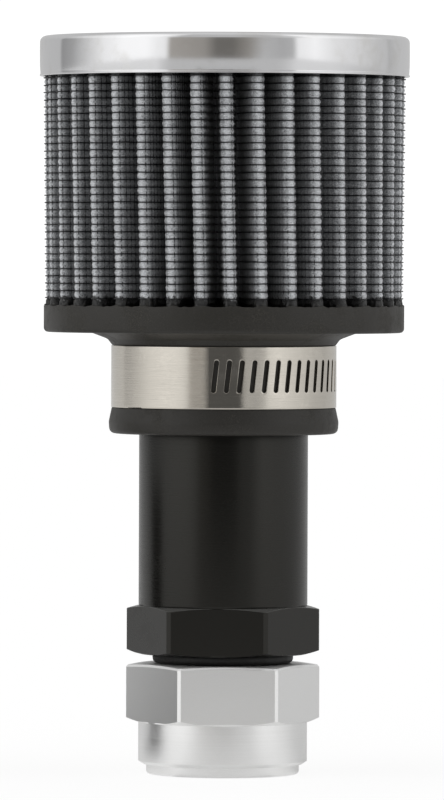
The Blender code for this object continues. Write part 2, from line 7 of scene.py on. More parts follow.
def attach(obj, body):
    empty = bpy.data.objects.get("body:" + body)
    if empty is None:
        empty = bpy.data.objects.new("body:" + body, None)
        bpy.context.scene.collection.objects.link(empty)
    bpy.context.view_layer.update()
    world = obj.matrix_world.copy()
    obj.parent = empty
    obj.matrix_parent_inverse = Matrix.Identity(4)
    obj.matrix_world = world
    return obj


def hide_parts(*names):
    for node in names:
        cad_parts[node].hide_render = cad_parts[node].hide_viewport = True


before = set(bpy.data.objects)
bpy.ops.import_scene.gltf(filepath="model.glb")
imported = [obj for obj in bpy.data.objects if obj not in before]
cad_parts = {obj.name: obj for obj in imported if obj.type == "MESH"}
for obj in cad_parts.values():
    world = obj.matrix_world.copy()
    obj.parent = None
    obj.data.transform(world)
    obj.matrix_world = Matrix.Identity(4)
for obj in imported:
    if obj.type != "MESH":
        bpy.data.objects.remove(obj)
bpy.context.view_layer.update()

mm = 0.001
print("frame loaded with", len(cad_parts), "nodes")


# Tools for surfaces

def join(*parts):
    # Coordinates side by side on a last axis
    return np.stack(np.broadcast_arrays(*parts), axis=-1)


def unit(vectors):
    # Each vector over its own length
    return vectors / np.linalg.norm(vectors, axis=-1, keepdims=True)


def fullTurn(count):
    # Angles of equal steps round a circle
    return 2 * np.pi * np.arange(count) / count


def circle(angles):
    # cos(angle), sin(angle)
    return join(np.cos(angles), np.sin(angles))


def raised(flat, height):
    # Points of the plane taken up to a height
    return join(flat[..., 0], flat[..., 1], height)


def ringOf(radius, height, angles):
    # radius cos(angle), radius sin(angle), height
    return join(radius * np.cos(angles), radius * np.sin(angles), height)


def turnedGrid(profile, angles):
    # (radius, height) pairs carried round Z, up the outer side and down the inner one
    profile = np.asarray(profile, float)
    return ringOf(profile[:, :1], profile[:, 1:], angles)


def gridQuads(rows, cols, aroundCols=True, aroundRows=False):
    # Faces of a grid of points, and their corners' row and column, counted on past a seam
    row, col = np.meshgrid(
        np.arange(rows - (not aroundRows)), np.arange(cols - (not aroundCols)), indexing="ij"
    )
    row, col = row.ravel(), col.ravel()
    rowOf = join(row, row, row + 1, row + 1)
    colOf = join(col, col + 1, col + 1, col)
    return (rowOf % rows) * cols + colOf % cols, rowOf, colOf


def gridPatch(points, aroundCols=True, aroundRows=False):
    # points is (rows, columns, 3); columns run against the clock and rows upwards
    quads = gridQuads(points.shape[0], points.shape[1], aroundCols, aroundRows)[0]
    return points.reshape(-1, 3), quads


def roundedLoop(corners, steps=5):
    # Outline through (x, y, radius) corners, each one an arc: its centre is on the bisector at
    # radius / sin(half the corner), and its points are the blend sin((1 - t) sweep) first +
    # sin(t sweep) last, over sin(sweep).
    corners = np.asarray(corners, float)
    point, radius = corners[:, :2], corners[:, 2:]
    before, after = [unit(np.roll(point, step, axis=0) - point) for step in (1, -1)]
    half = np.arccos(np.clip((before * after).sum(1, keepdims=True), -1, 1)) / 2
    centre = point + unit(before + after) * radius / np.sin(half)
    first, last = [point + side * radius / np.tan(half) - centre for side in (before, after)]
    sweep = (np.pi - 2 * half)[:, None, :]
    share = np.linspace(0, 1, steps + 1)[None, :, None]
    turned = np.sin((1 - share) * sweep) * first[:, None] + np.sin(share * sweep) * last[:, None]
    return (centre[:, None] + turned / np.sin(sweep)).reshape(-1, 2)


def smoothStep(value):
    # 3 v^2 - 2 v^3 from 0 to 1, and level outside
    value = np.clip(value, 0, 1)
    return value * value * (3 - 2 * value)


def unevenness(angle, amplitude, waves, seed):
    # The mean of sines round a piece with whole-number waves and fixed random phases
    random = np.random.default_rng(seed)
    frequency = random.integers(2, waves, 9)
    phase = random.random(9) * 2 * np.pi
    return amplitude * 2 * np.sin(np.multiply.outer(angle, frequency) + phase).mean(-1)


def newMesh(name, patches):
    # (points, quads) patches in millimetres, each one's quads counted on from the last
    starts = np.cumsum([0] + [len(points) for points, quads in patches[:-1]])
    points = np.concatenate([points for points, quads in patches]) * mm
    quads = np.concatenate([quads + start for (points, quads), start in zip(patches, starts)])
    mesh = bpy.data.meshes.new(name)
    mesh.from_pydata(points.tolist(), [], quads.tolist())
    return mesh


def newObject(name, thing):
    piece = bpy.data.objects.new(name, thing)
    bpy.context.scene.collection.objects.link(piece)
    return piece


def finishPiece(mesh, look, body, replaced, merge, sharp, level=0):
    # Points that meet within the merging distance become one, and so do level faces. Edges
    # sharper than the given angle stay crisp.
    if merge:
        work = bmesh.new()
        work.from_mesh(mesh)
        bmesh.ops.remove_doubles(work, verts=work.verts, dist=merge * mm)
        if level:
            angle = np.radians(level)
            bmesh.ops.dissolve_limit(work, angle_limit=angle, verts=work.verts, edges=work.edges)
        work.to_mesh(mesh)
        work.free()
    mesh.materials.clear()
    mesh.materials.append(look[0])
    mesh.shade_smooth()
    mesh.set_sharp_from_angle(angle=np.radians(sharp))
    piece = newObject(mesh.name, mesh)
    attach(piece, body)
    if replaced:
        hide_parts(replaced)
    print("piece", piece.name, "with", len(mesh.polygons), "faces")
    return piece


def makePiece(name, patches, look, body, replaced, merge=0.002, sharp=28):
    return finishPiece(newMesh(name, patches), look, body, replaced, merge, sharp)


def breakEdges(piece, width, angle=50):
    # A narrow bevel along every edge sharper than the angle
    rim = piece.modifiers.new("brokenEdges", "BEVEL")
    rim.width = width * mm
    rim.segments = 2
    rim.limit_method = "ANGLE"
    rim.angle_limit = np.radians(angle)


def makeSheetMetal(name, patches, look, replaced, wall, edge):
    # The clamp's sheets get their wall on the side that their faces point to, and broken edges
    piece = makePiece(name, patches, look, "clamp", replaced)
    solid = piece.modifiers.new("wall", "SOLIDIFY")
    solid.thickness = wall * mm
    solid.offset = 1
    solid.use_even_offset = True
    breakEdges(piece, edge)


# Tools for materials

def feed(node, inputs):
    # Each input is linked to another node's output, or given a value
    for key, value in dict(inputs).items():
        if isinstance(value, bpy.types.NodeSocket):
            node.id_data.links.new(value, node.inputs[key])
        else:
            node.inputs[key].default_value = value


def place(tree, kind, inputs=(), **settings):
    # A new node with its settings and inputs
    node = tree.nodes.new(kind)
    for key, value in settings.items():
        setattr(node, key, value)
    feed(node, inputs)
    return node


def sums(operation, first, second=0.0):
    # One sum between two values, in the tree of the one that is a node's output
    tree = (first if isinstance(first, bpy.types.NodeSocket) else second).id_data
    return place(tree, "ShaderNodeMath", {0: first, 1: second}, operation=operation).outputs[0]


def add(first, second):
    return sums("ADD", first, second)


def times(first, second):
    return sums("MULTIPLY", first, second)


def spread(value, low, high, fromLow=0.0, fromHigh=1.0, curve="LINEAR"):
    # Carries the range fromLow to fromHigh to the range low to high, and stops at its ends
    inputs = {"Value": value, "From Min": fromLow, "From Max": fromHigh, "To Min": low, "To Max": high}
    return place(value.id_data, "ShaderNodeMapRange", inputs, interpolation_type=curve).outputs["Result"]


def mix(share, first, second):
    # first (1 - share) + second share, between two colours
    inputs = {0: share, 6: first, 7: second if isinstance(second, bpy.types.NodeSocket) else (*second, 1)}
    return place(share.id_data, "ShaderNodeMix", inputs, data_type="RGBA").outputs[2]


def colourRamp(factor, stops):
    # Colours between stops of (position, colour)
    node = place(factor.id_data, "ShaderNodeValToRGB", {"Fac": factor})
    elements = node.color_ramp.elements
    while len(elements) < len(stops):
        elements.new(1.0)
    for element, (position, colour) in zip(elements, stops):
        element.position = position
        element.color = (*colour, 1)
    return node.outputs["Color"]


def greys(stops):
    # Stops of (position, grey) as colours
    return [(position, (value,) * 3) for position, value in stops]


def noise(vector, **inputs):
    return place(vector.id_data, "ShaderNodeTexNoise", {"Vector": vector, **inputs}).outputs["Fac"]


def axes(vector):
    return place(vector.id_data, "ShaderNodeSeparateXYZ", {0: vector}).outputs


def fromAxis(where):
    # Distance from the Z axis: the root of x^2 + y^2
    x, y = axes(where["Object"])[:2]
    return sums("SQRT", add(times(x, x), times(y, y)))


def fromFront(vector):
    # Angle round Z from the camera's side, and the same as a share of the turn from -180 degrees
    x, y = axes(vector)[:2]
    turn = sums("ARCTAN2", x, times(y, -1.0))
    return turn, spread(turn, 0.0, 1.0, -np.pi, np.pi)


def newGroup(name, effect, **inputs):
    # A group that turns a place on the piece into a value from 0 to 1, by the effect's function
    group = bpy.data.node_groups.new(name, "ShaderNodeTree")
    group.interface.new_socket(name="Place", in_out="INPUT", socket_type="NodeSocketVector")
    for socketName, value in inputs.items():
        socket = group.interface.new_socket(name=socketName, in_out="INPUT", socket_type="NodeSocketFloat")
        socket.default_value = value
    group.interface.new_socket(name="Value", in_out="OUTPUT", socket_type="NodeSocketFloat")
    value = effect(place(group, "NodeGroupInput").outputs)
    place(group, "NodeGroupOutput", {"Value": value})
    return group


def useGroup(group, where, **inputs):
    tree, inputs = where["Object"].id_data, {"Place": where["Object"], **inputs}
    return place(tree, "ShaderNodeGroup", inputs, node_tree=group).outputs["Value"]


def newMaterial(name, colour, roughness, metallic=0.0, **sockets):
    # The material, its shader and the outputs that say where a point lies
    material = bpy.data.materials.new(name)
    material.use_nodes = True
    shader = material.node_tree.nodes["Principled BSDF"]
    feed(shader, {"Base Color": (*colour, 1), "Roughness": roughness, "Metallic": metallic})
    feed(shader, {key.replace("_", " "): value for key, value in sockets.items()})
    return material, shader, place(material.node_tree, "ShaderNodeTexCoord").outputs


def relief(shader, *layers):
    # Bumps of (height, depth in millimetres, strength), each one on the one before
    normal = {}
    for height, depth, strength in layers:
        inputs = {"Height": height, "Distance": depth * mm, "Strength": strength, **normal}
        normal = {"Normal": place(shader.id_data, "ShaderNodeBump", inputs).outputs["Normal"]}
    feed(shader, normal)


# Effects that several materials share

def grainEffect(inputs):
    # Fine cloudy grain: one noise, with Size the width of a grain in millimetres
    scale = sums("DIVIDE", 1.0 / mm, inputs["Size"])
    cloud = noise(inputs["Place"], Scale=scale, Detail=inputs["Detail"], Roughness=0.6)
    return spread(cloud, 0.0, 1.0, 0.25, 0.75)


def linesEffect(inputs):
    # Lines round Z, as from a lathe or a brush: noise stretched along the surface, with the
    # lines' Width and Length in millimetres
    sizes = [sums("DIVIDE", 1.0 / mm, inputs[name]) for name in ("Length", "Length", "Width")]
    parts = {k: times(part, sizes[k]) for k, part in enumerate(axes(inputs["Place"]))}
    stretched = place(inputs["Place"].id_data, "ShaderNodeCombineXYZ", parts).outputs[0]
    return spread(noise(stretched, Scale=1.0, Detail=4.0, Roughness=0.7), 0.0, 1.0, 0.25, 0.75)


def marksEffect(inputs):
    # Smudges and dust: 0.7 of a broad noise and 0.3 of a finer one, cut off at a level. Size is
    # a patch's width in millimetres, and Share how much of the surface they take.
    scale = sums("DIVIDE", 1.0 / mm, inputs["Size"])
    broad = noise(inputs["Place"], Scale=scale, Detail=2.0, Distortion=0.6)
    fine = noise(inputs["Place"], Scale=times(scale, 7.0), Detail=4.0)
    edge = sums("SUBTRACT", 0.72, times(inputs["Share"], 0.5))
    return spread(add(times(broad, 0.7), times(fine, 0.3)), 0.0, 1.0, edge, add(edge, 0.16), "SMOOTHSTEP")


fineGrain = newGroup("fineGrain", grainEffect, Size=0.3, Detail=3.0)
toolLines = newGroup("toolLines", linesEffect, Width=0.2, Length=12.0)
handlingMarks = newGroup("handlingMarks", marksEffect, Size=14.0, Share=0.4)


# Materials
# A pair of numbers is what an effect begins at and reaches; depths are in millimetres.

chrome = {
    "colour": (0.80, 0.80, 0.81),
    "smudge": (0.75, 0.745, 0.74),
    "roughness": (0.075, 0.15),  # clean, and smudged
    "ripple": 0.03,
    "polish": 0.0006,
}
rubber = {
    "colour": (0.0155, 0.0137, 0.0102),
    "specks": (0.050, 0.047, 0.039),  # added where dust lies
    "roughness": 0.53,
    "handled": (-0.05, 0.1),  # roughness added by handling
    "dusty": (0.35, 1.0),
    "grain": 0.03,
}
sealRubber = {"colour": (0.006, 0.006, 0.006), "roughness": 0.58, "sealant": 0.36}
resin = {"colour": (0.03, 0.03, 0.03), "roughness": 0.45}
wireCoat = {
    "colour": (0.012, 0.012, 0.014),
    "bare": (0.008, 0.008, 0.009),
    "roughness": (0.22, 0.42),
    "fibres": (0.05, 0.34),  # grey of the loose fibres on the round and on the upright wires
    "inner": 0.35,  # the inner screen's roughness
    "between": (0.16, 0.165, 0.17),
}
cotton = {
    "dark": (0.19, 0.198, 0.208),
    "light": (0.84, 0.86, 0.89),
    # Near black, for the sealant at the foot and for the painted shadow below the cap
    "sealedAndShaded": (0.012, 0.012, 0.012),
    "roughness": (0.9, 0.4),  # dry, and where the sealant and the painted shadow below the cap are
    # Shares of the tone, each as what it begins at and reaches, over which range
    "fibres": (0.0, 0.75, 0.32, 0.68),
    "curls": (0.0, 0.2, 0.0, 0.12),
    "patches": (-0.12, 0.12),
    "settled": (0.2, -0.36, 0.1, 0.95),  # painted light on the tips and painted shade in the folds, by mesh cells from a pleat's tip
    "wireShade": (-0.16, 0.0, 0.08, 0.24),  # painted shade beside an upright wire, by mesh cells from it
    # Millimetres: unevenness of the edges of the sealant and of the painted shadow below the cap, the
    # sealant's height above the base, and the height of the painted shadow below the cap
    "unevenEdge": 0.8,
    "sealed": (1.1, 1.6),
    "capShadow": (142.6, 143.4),
    "capShadowShare": 0.9,
    "relief": 0.16,
}
anodising = {
    "colour": (0.0022, 0.0020, 0.0015),
    "pale": 2.2,  # how many times paler the palest grain is
    "tint": (1.0, 0.98, 0.91, 1.0),
    # A paler colour painted on as a highlight along the hexagon's upper face
    "paintedHighlight": (0.13, 0.13, 0.125),
    "roughness": 0.26,
    "lined": (0.22, 0.30),  # roughness over the tool lines
    "handled": (0.0, 0.05),  # and added by handling
    "lines": {"Width": 0.16, "Length": 18.0},
    "marks": {"Size": 11.0, "Share": 0.35},
    # The hexagon's upper face, where the painted highlight lies, is where height + first * distance from
    # the axis passes the others
    "face": (0.26, 39.14, 39.2),
}
aluminium = {
    "colour": (0.93, 0.93, 0.92),
    "dark": (0.89, 0.89, 0.88),
    "light": (1.0, 1.0, 0.995),
    "roughness": 0.33,
    "lined": (0.28, 0.38),
    "handled": (0.0, 0.05),
    "lines": {"Width": 0.22, "Length": 25.0},
    "marks": {"Size": 10.0, "Share": 0.3},
    "face": (0.12, 24.42, 24.5),
    "faceMetal": 0.3,
}
steel = {
    "dark": (0.61, 0.575, 0.515),
    "colour": (0.70, 0.66, 0.59),
    "light": (0.77, 0.73, 0.66),
    "roughness": 0.09,
    "lined": (0.07, 0.11),
    "handled": (0.0, 0.06),
    "lines": {"Width": 0.09, "Length": 9.0},
    "marks": {"Size": 7.0, "Share": 0.4},
}


def chromeLook():
    # Bright plate, dulled where it was handled
    material, shader, where = newMaterial("chromePlate", chrome["colour"], chrome["roughness"][0], 1.0)
    marks = useGroup(handlingMarks, where, Size=16.0, Share=0.45)
    feed(shader, {
        "Roughness": spread(marks, *chrome["roughness"]),
        "Base Color": colourRamp(marks, [(0, chrome["colour"]), (1, chrome["smudge"])]),
    })
    # Slow ripples that the press leaves in the skirt, and very fine polishing lines
    ripple = noise(where["Object"], Scale=90.0, Detail=1.0)
    polish = useGroup(toolLines, where, Width=0.12, Length=30.0)
    relief(shader, (ripple, chrome["ripple"], 0.6), (polish, chrome["polish"], 0.5))
    return material


def rubberLook(name="blackRubber", colour=rubber["colour"], roughness=rubber["roughness"], grain=0.22):
    # Matte grain, with pale dust in it where the handling marks are
    material, shader, where = newMaterial(name, colour, roughness, IOR=1.5)
    fine = useGroup(fineGrain, where, Size=grain, Detail=4.0)
    marks = useGroup(handlingMarks, where, Size=9.0, Share=0.5)
    dusty = times(spread(fine, 0.0, 1.0, 0.45, 1.0), spread(marks, *rubber["dusty"]))
    pale = tuple(part + speck for part, speck in zip(colour, rubber["specks"]))
    feed(shader, {
        "Roughness": spread(marks, *[roughness + part for part in rubber["handled"]]),
        "Base Color": colourRamp(dusty, [(0, colour), (1, pale)]),
    })
    relief(shader, (fine, rubber["grain"], 0.5))
    return material


def wireLook(name, fibres):
    # Coated wire, with loose fibres over it where the grain is lightest
    material, shader, where = newMaterial(name, wireCoat["colour"], 0.3, Specular_IOR_Level=0.55)
    fine = useGroup(fineGrain, where, Size=0.35, Detail=3.0)
    stops = [(0, wireCoat["bare"]), (0.5, wireCoat["colour"]), (1, (fibres,) * 3)]
    feed(shader, {"Roughness": spread(fine, *wireCoat["roughness"]), "Base Color": colourRamp(fine, stops)})
    relief(shader, (fine, 0.02, 0.4))
    return material


def cottonLook():
    # The texture map counts mesh cells along the fold and upwards, so the pillows keep their fibres
    material, shader, where = newMaterial("cottonGauze", cotton["light"], 0.9, Sheen_Weight=0.25)
    tree = shader.id_data
    fibres = noise(where["UV"], Scale=3.2, Detail=5.0, Roughness=0.68, Distortion=1.6)
    curls = place(tree, "ShaderNodeTexVoronoi", {
        "Vector": where["UV"], "Scale": 5.0, "Randomness": 1.0,
    }, feature="DISTANCE_TO_EDGE").outputs["Distance"]
    patches = useGroup(fineGrain, where, Size=5.0, Detail=2.0)
    # Painted light brightens the pleats' tips, and painted shade darkens the folds and the cotton beside
    # the upright wires, which lie half-way between whole numbers
    along = axes(where["UV"])[0]
    fromTip = sums("PINGPONG", along, pleats["cells"] / 2)
    fromWire = sums("ABSOLUTE", sums("SUBTRACT", sums("FRACT", along), 0.5))
    value = spread(fibres, *cotton["fibres"])
    for effect, name in (
        (curls, "curls"), (patches, "patches"), (fromTip, "settled"), (fromWire, "wireShade"),
    ):
        value = add(value, spread(effect, *cotton[name]))
    clean = colourRamp(value, [(0, cotton["dark"]), (0.9, cotton["light"])])
    # Sealant has crept up at the foot, to an uneven height, and a painted shadow darkens the cotton just
    # below the cap
    height = axes(where["Object"])[2]
    unevenEdge = cotton["unevenEdge"] * mm
    unevenEdge = spread(useGroup(fineGrain, where, Size=1.1, Detail=3.0), -unevenEdge, unevenEdge)
    sealed = [(pleats["baseTop"] + rise) * mm for rise in cotton["sealed"]]
    sealed = spread(add(height, unevenEdge), 1.0, 0.0, *sealed)
    # Painted shadow: the cotton darkens just below the cap's lip
    capShadow = [level * mm for level in cotton["capShadow"]]
    capShadow = spread(add(height, times(unevenEdge, 0.4)), 0.0, cotton["capShadowShare"], *capShadow)
    sealedAndShaded = sums("MAXIMUM", sealed, capShadow)
    feed(shader, {
        "Base Color": mix(sealedAndShaded, clean, cotton["sealedAndShaded"]),
        "Roughness": spread(sealedAndShaded, *cotton["roughness"]),
    })
    relief(shader, (value, cotton["relief"], 0.7))
    return material


def innerMeshLook():
    # The round wires as lines at the rows' pitch, with grain between them
    material, shader, where = newMaterial("innerScreenWire", wireCoat["colour"], wireCoat["inner"])
    cell = sums("FRACT", sums("DIVIDE", axes(where["Object"])[2], pleats["rowPitch"] * mm))
    wire = spread(sums("ABSOLUTE", sums("SUBTRACT", cell, 0.5)), 1.0, 0.0, 0.1, 0.16)
    fine = useGroup(fineGrain, where, Size=0.5, Detail=3.0)
    value = sums("MAXIMUM", wire, spread(fine, 0.0, 0.6))
    stops = [(0, wireCoat["between"]), (1, wireCoat["colour"])]
    feed(shader, {"Base Color": colourRamp(value, stops)})
    relief(shader, (wire, 0.1, 0.8))
    return material


def faceMask(where, slope, low, high):
    # From 0 to 1 as height + slope * distance from the axis goes from low to high
    level = add(axes(where["Object"])[2], times(fromAxis(where), slope))
    return spread(level, 0.0, 1.0, low * mm, high * mm)


def metalLook(name, sizes, metallic=1.0, isTurned=True, **sockets):
    # The roughness follows the tool lines and how the piece was handled. Lathe lines show only
    # where the distance from the axis is less than the hexagon's flats have.
    material, shader, where = newMaterial(name, sizes["colour"], sizes["roughness"], metallic, **sockets)
    lines = useGroup(toolLines, where, **sizes["lines"])
    if isTurned:
        isRound = spread(fromAxis(where), 1.0, 0.0, *[limit * mm for limit in bar["turned"]])
        lines = add(0.5, times(isRound, sums("SUBTRACT", lines, 0.5)))
    marks = useGroup(handlingMarks, where, **sizes["marks"])
    feed(shader, {"Roughness": add(spread(lines, *sizes["lined"]), spread(marks, *sizes["handled"]))})
    return material, shader, where, lines, marks


def anodisedLook():
    # Black with a fine grain; the turned face on top of the hexagon is painted paler, as a highlight
    material, shader, where, lines, marks = metalLook(
        "blackAnodised", anodising, 0.0, Specular_IOR_Level=0.42, Specular_Tint=anodising["tint"]
    )
    fine = useGroup(fineGrain, where, Size=0.12, Detail=3.0)
    pale = tuple(value * anodising["pale"] for value in anodising["colour"])
    both = add(spread(fine, 0.0, 0.6), spread(marks, 0.0, 0.4))
    clean = colourRamp(both, [(0, anodising["colour"]), (1, pale)])
    isFlat = spread(fromAxis(where), 0.0, 1.0, *[limit * mm for limit in bar["flat"]])
    # Painted highlight: a paler colour on the hexagon's upper face, over the flats
    paintedHighlight = times(times(faceMask(where, *anodising["face"]), isFlat), spread(fine, 0.6, 1.0))
    feed(shader, {"Base Color": mix(paintedHighlight, clean, anodising["paintedHighlight"])})
    relief(shader, (lines, 0.003, 0.5), (fine, 0.004, 0.4))
    return material


def aluminiumLook():
    # Bare and turned; the turned face on top of the hexagon is duller
    material, shader, where, lines, marks = metalLook("bareAluminium", aluminium)
    fine = useGroup(fineGrain, where, Size=0.16, Detail=4.0)
    both = add(spread(fine, 0.0, 0.5), spread(lines, 0.0, 0.5))
    feed(shader, {
        "Base Color": colourRamp(both, [(0, aluminium["dark"]), (1, aluminium["light"])]),
        "Metallic": spread(faceMask(where, *aluminium["face"]), 1.0, aluminium["faceMetal"]),
    })
    relief(shader, (lines, 0.011, 0.5), (fine, 0.006, 0.35))
    return material


def steelLook():
    # Lightly brushed along the band
    material, shader, where, lines, marks = metalLook("brushedSteel", steel, isTurned=False)
    both = add(spread(lines, 0.0, 0.7), spread(marks, 0.0, 0.3))
    stops = [(0, steel["dark"]), (0.55, steel["colour"]), (1, steel["light"])]
    feed(shader, {"Base Color": colourRamp(both, stops)})
    relief(shader, (lines, 0.006, 0.5))
    return material


# Place of the pleats, which the wire, the cotton, the sealant and the base follow, in millimetres

pleats = {
    "count": 37,
    "turn": -88.1,  # degrees, of the first tip
    # How far each of the front tips stands from its even place, in degrees, from left to right
    "front": [0.65, 0.15, 0.55, 0.35, -0.15, -0.45, -0.65, -0.2, 0.05, -0.25, -0.25, 0.1, 0.15],
    "stray": 0.3,  # degrees for the other tips
    "tipStray": 0.08,  # and how far each tip is out of its circle
    "twist": 1.75,  # degrees by which the whole pack is twisted from its top to its foot
    # Radius, half width and rounding of the folds, on the middle surface of the pack
    "tip": (36.14, 0.79, 0.55),
    "valley": (24.66, 0.74, 0.7),
    "cells": 20,  # mesh cells along one pleat
    "rowPitch": 1.504, "topRow": 143.11, "rows": 31,
    "foot": 94.7, "top": 148.0, "baseTop": 96.84,
    "flare": 0.0115,  # how much wider the pack is under the cap
    "flareTop": 143.0,
}


def foldedPath():
    # The uneven pack as a smooth closed outline with its length so far, and the lengths at which
    # tips and valleys have their middles. A corner is radius (cos(a), sin(a)) + half width
    # (-sin(a), cos(a)).
    count, random = pleats["count"], np.random.default_rng(5)
    number, steps = np.arange(count), 10
    stray = pleats["stray"] * random.uniform(-1, 1, count)
    stray[np.arange(-6, 7)] = pleats["front"]
    tip = np.radians(pleats["turn"]) + fullTurn(count) + np.radians(stray)
    tipRadius, tipHalf, tipBend = pleats["tip"]
    tipRadius = tipRadius + pleats["tipStray"] * random.uniform(-1, 1, count)
    valley = (tip + np.roll(tip, -1) + 2 * np.pi * (number == count - 1)) / 2
    valleyBefore = np.roll(valley, 1) - 2 * np.pi * (number == 0)
    radius, half, bend = pleats["valley"]
    folds = (
        (valleyBefore, radius, half, bend), (tip, tipRadius, -tipHalf, tipBend),
        (tip, tipRadius, tipHalf, tipBend), (valley, radius, -half, bend),
    )
    corners = np.stack([
        join(r * np.cos(a) - h * np.sin(a), r * np.sin(a) + h * np.cos(a), b) for a, r, h, b in folds
    ], axis=1)
    outline = roundedLoop(corners.reshape(-1, 3), steps)
    outline = np.concatenate([outline, outline[:1]])
    length = np.concatenate([[0], np.cumsum(np.linalg.norm(np.diff(outline, axis=0), axis=1))])
    ends = length[:-1].reshape(count, 4, steps + 1)
    tipAt = (ends[:, 1, -1] + ends[:, 2, 0]) / 2
    valleyAt = (ends[:, 3, -1] + np.append(ends[1:, 0, 0], length[-1])) / 2
    return outline, length, tipAt, valleyAt


def alongFold(cells, offset=0.0):
    # Points of the fold at cell numbers from -10 to 10 round each pleat's tip, moved outwards by
    # an offset, and the outward direction there
    outline, length, tipAt, valleyAt = foldLine
    step = 0.12
    before = np.append(valleyAt[-1] - length[-1], valleyAt[:-1])
    cells = np.asarray(cells, float)[None, :]
    reach = np.where(cells > 0, (valleyAt - tipAt)[:, None], (tipAt - before)[:, None])
    at = (tipAt[:, None] + cells / (pleats["cells"] / 2) * reach).ravel()
    read = lambda s: join(*[np.interp(s % length[-1], length, part) for part in outline.T])
    ahead = unit(read(at + step) - read(at - step))
    outward = join(ahead[:, 1], -ahead[:, 0])
    return read(at) + outward * offset, outward


def bothSides(middle, side):
    # Cell numbers round a pleat's tip, and mirrored ones on both sides of them
    return np.concatenate([-np.array(side)[::-1], middle, side])


def packSurface(cells, out, heights):
    # The fold's points, moved outwards row by row and taken up to the rows' heights
    flat, outward = alongFold(cells)
    return settled(raised(flat + outward * out[..., None], heights))


def settled(points):
    # The pack widens towards the cap, where x and y grow by a share of the height above its foot,
    # and is twisted a little: (x, y) turned by twist (1/2 - share)
    share = np.clip((points[..., 2] - pleats["foot"]) / (pleats["flareTop"] - pleats["foot"]), 0, 1)
    spot = (points[..., 0] + 1j * points[..., 1]) * (1 + pleats["flare"] * share)
    spot = spot * np.exp(1j * np.radians(pleats["twist"]) * (0.5 - share))
    return join(spot.real, spot.imag, points[..., 2])


foldLine = foldedPath()
print("fold is", round(foldLine[1][-1], 1), "mm long")


# Camera, light and floor

camera = {"eye": (-0.00035, -1.59, 0.1079), "aim": (-0.00035, 0.0, 0.0770), "lens": 347.3, "roll": 0.2}

# Brightness of the studio round the object, by degrees from the camera's side
studio = {
    # At eye height: a soft panel on each side, a dimmer room with a warm tone behind the camera,
    # and grey walls behind the object
    "round": [
        (-180, 0.56), (-125, 0.54), (-122, 0.32), (-110, 0.40), (-96, 0.66), (-82, 0.96), (-66, 1.14),
        (-50, 1.16), (-42, 1.02), (-37, 0.98), (-34, 0.40), (-24, 0.37), (-13, 0.33), (-5, 0.17),
        (5, 0.17), (15, 0.30), (24, 0.52), (36, 0.46), (43, 0.50), (46, 0.98), (58, 1.10), (72, 0.90),
        (96, 0.74), (112, 0.62), (121, 0.58), (124, 0.50), (134, 0.58), (180, 0.56),
    ],
    "warm": (1.0, 0.95, 0.88),
    "warmFrom": (-35, 20),
    # Higher up, where the panels are brighter and the room is no longer dark
    "above": [
        (-180, 0.56), (-125, 0.60), (-96, 0.95), (-66, 1.25), (-42, 1.10), (-28, 0.55), (28, 0.55),
        (45, 0.70), (58, 1.15), (75, 1.05), (100, 0.85), (125, 0.62), (180, 0.56),
    ],
    "aboveFrom": (0.12, 0.42),  # sine of the elevation
    "zenith": 0.70,
    "zenithFrom": (0.78, 0.97),
    "background": 1.06,
    "floor": (0.28, 0.26),  # how pale the floor is to the object, and to the camera
    "floorSeen": 0.81,  # its own light, to the camera
    # Its light to the object: by metres from it in front of it, and by degrees on the other sides
    "floorFront": [(0.28, 0.47), (0.42, 0.16), (1.3, 0.16), (1.8, 0.36)],
    "floorSides": [
        (-180, 0.42), (-115, 0.48), (-80, 0.58), (-42, 0.60), (-34, 0.42), (34, 0.42), (46, 0.56),
        (70, 0.56), (105, 0.34), (180, 0.38),
    ],
    "floorSidesFrom": (0.55, 0.75),  # radians
    "floorLines": [-5000.0, -1500, -500, 0, 500, 1500, 5000],
}

# Dark cards that only reflections show, as outlines of (distance, height) carried across a width:
# one in front of the clamp, and one beside the bung that also lies on the floor
cards = {
    "frontCard": {"turn": 0.2, "width": 162.0, "outline": [(250, 52), (250, 126)], "colour": 0.16},
    "sideCard": {
        "turn": -97.0, "width": 44.0, "outline": [(48, 0.4), (120, 0.5), (120, 62)], "colour": 0.02,
    },
}


def makeCamera():
    lens = bpy.data.cameras.new("photoCamera")
    lens.lens = camera["lens"]
    lens.sensor_width = 36.0
    lens.clip_start = 0.05
    lens.clip_end = 30.0
    holder = newObject("photoCamera", lens)
    eye, aim = Vector(camera["eye"]), Vector(camera["aim"])
    turn = (aim - eye).to_track_quat("-Z", "Y").to_matrix().to_4x4()
    roll = Matrix.Rotation(np.radians(camera["roll"]), 4, "Z")
    holder.matrix_world = Matrix.Translation(eye) @ turn @ roll
    bpy.context.scene.camera = holder


def roundStops(levels, warmFrom=(0, 0)):
    # Colour stops from (degrees, brightness), with the warm tone between two angles
    stops = []
    for degrees, bright in levels:
        tone = studio["warm"] if warmFrom[0] < degrees < warmFrom[1] else (1.0, 1.0, 1.0)
        stops.append((degrees / 360 + 0.5, tuple(bright * part for part in tone)))
    return stops


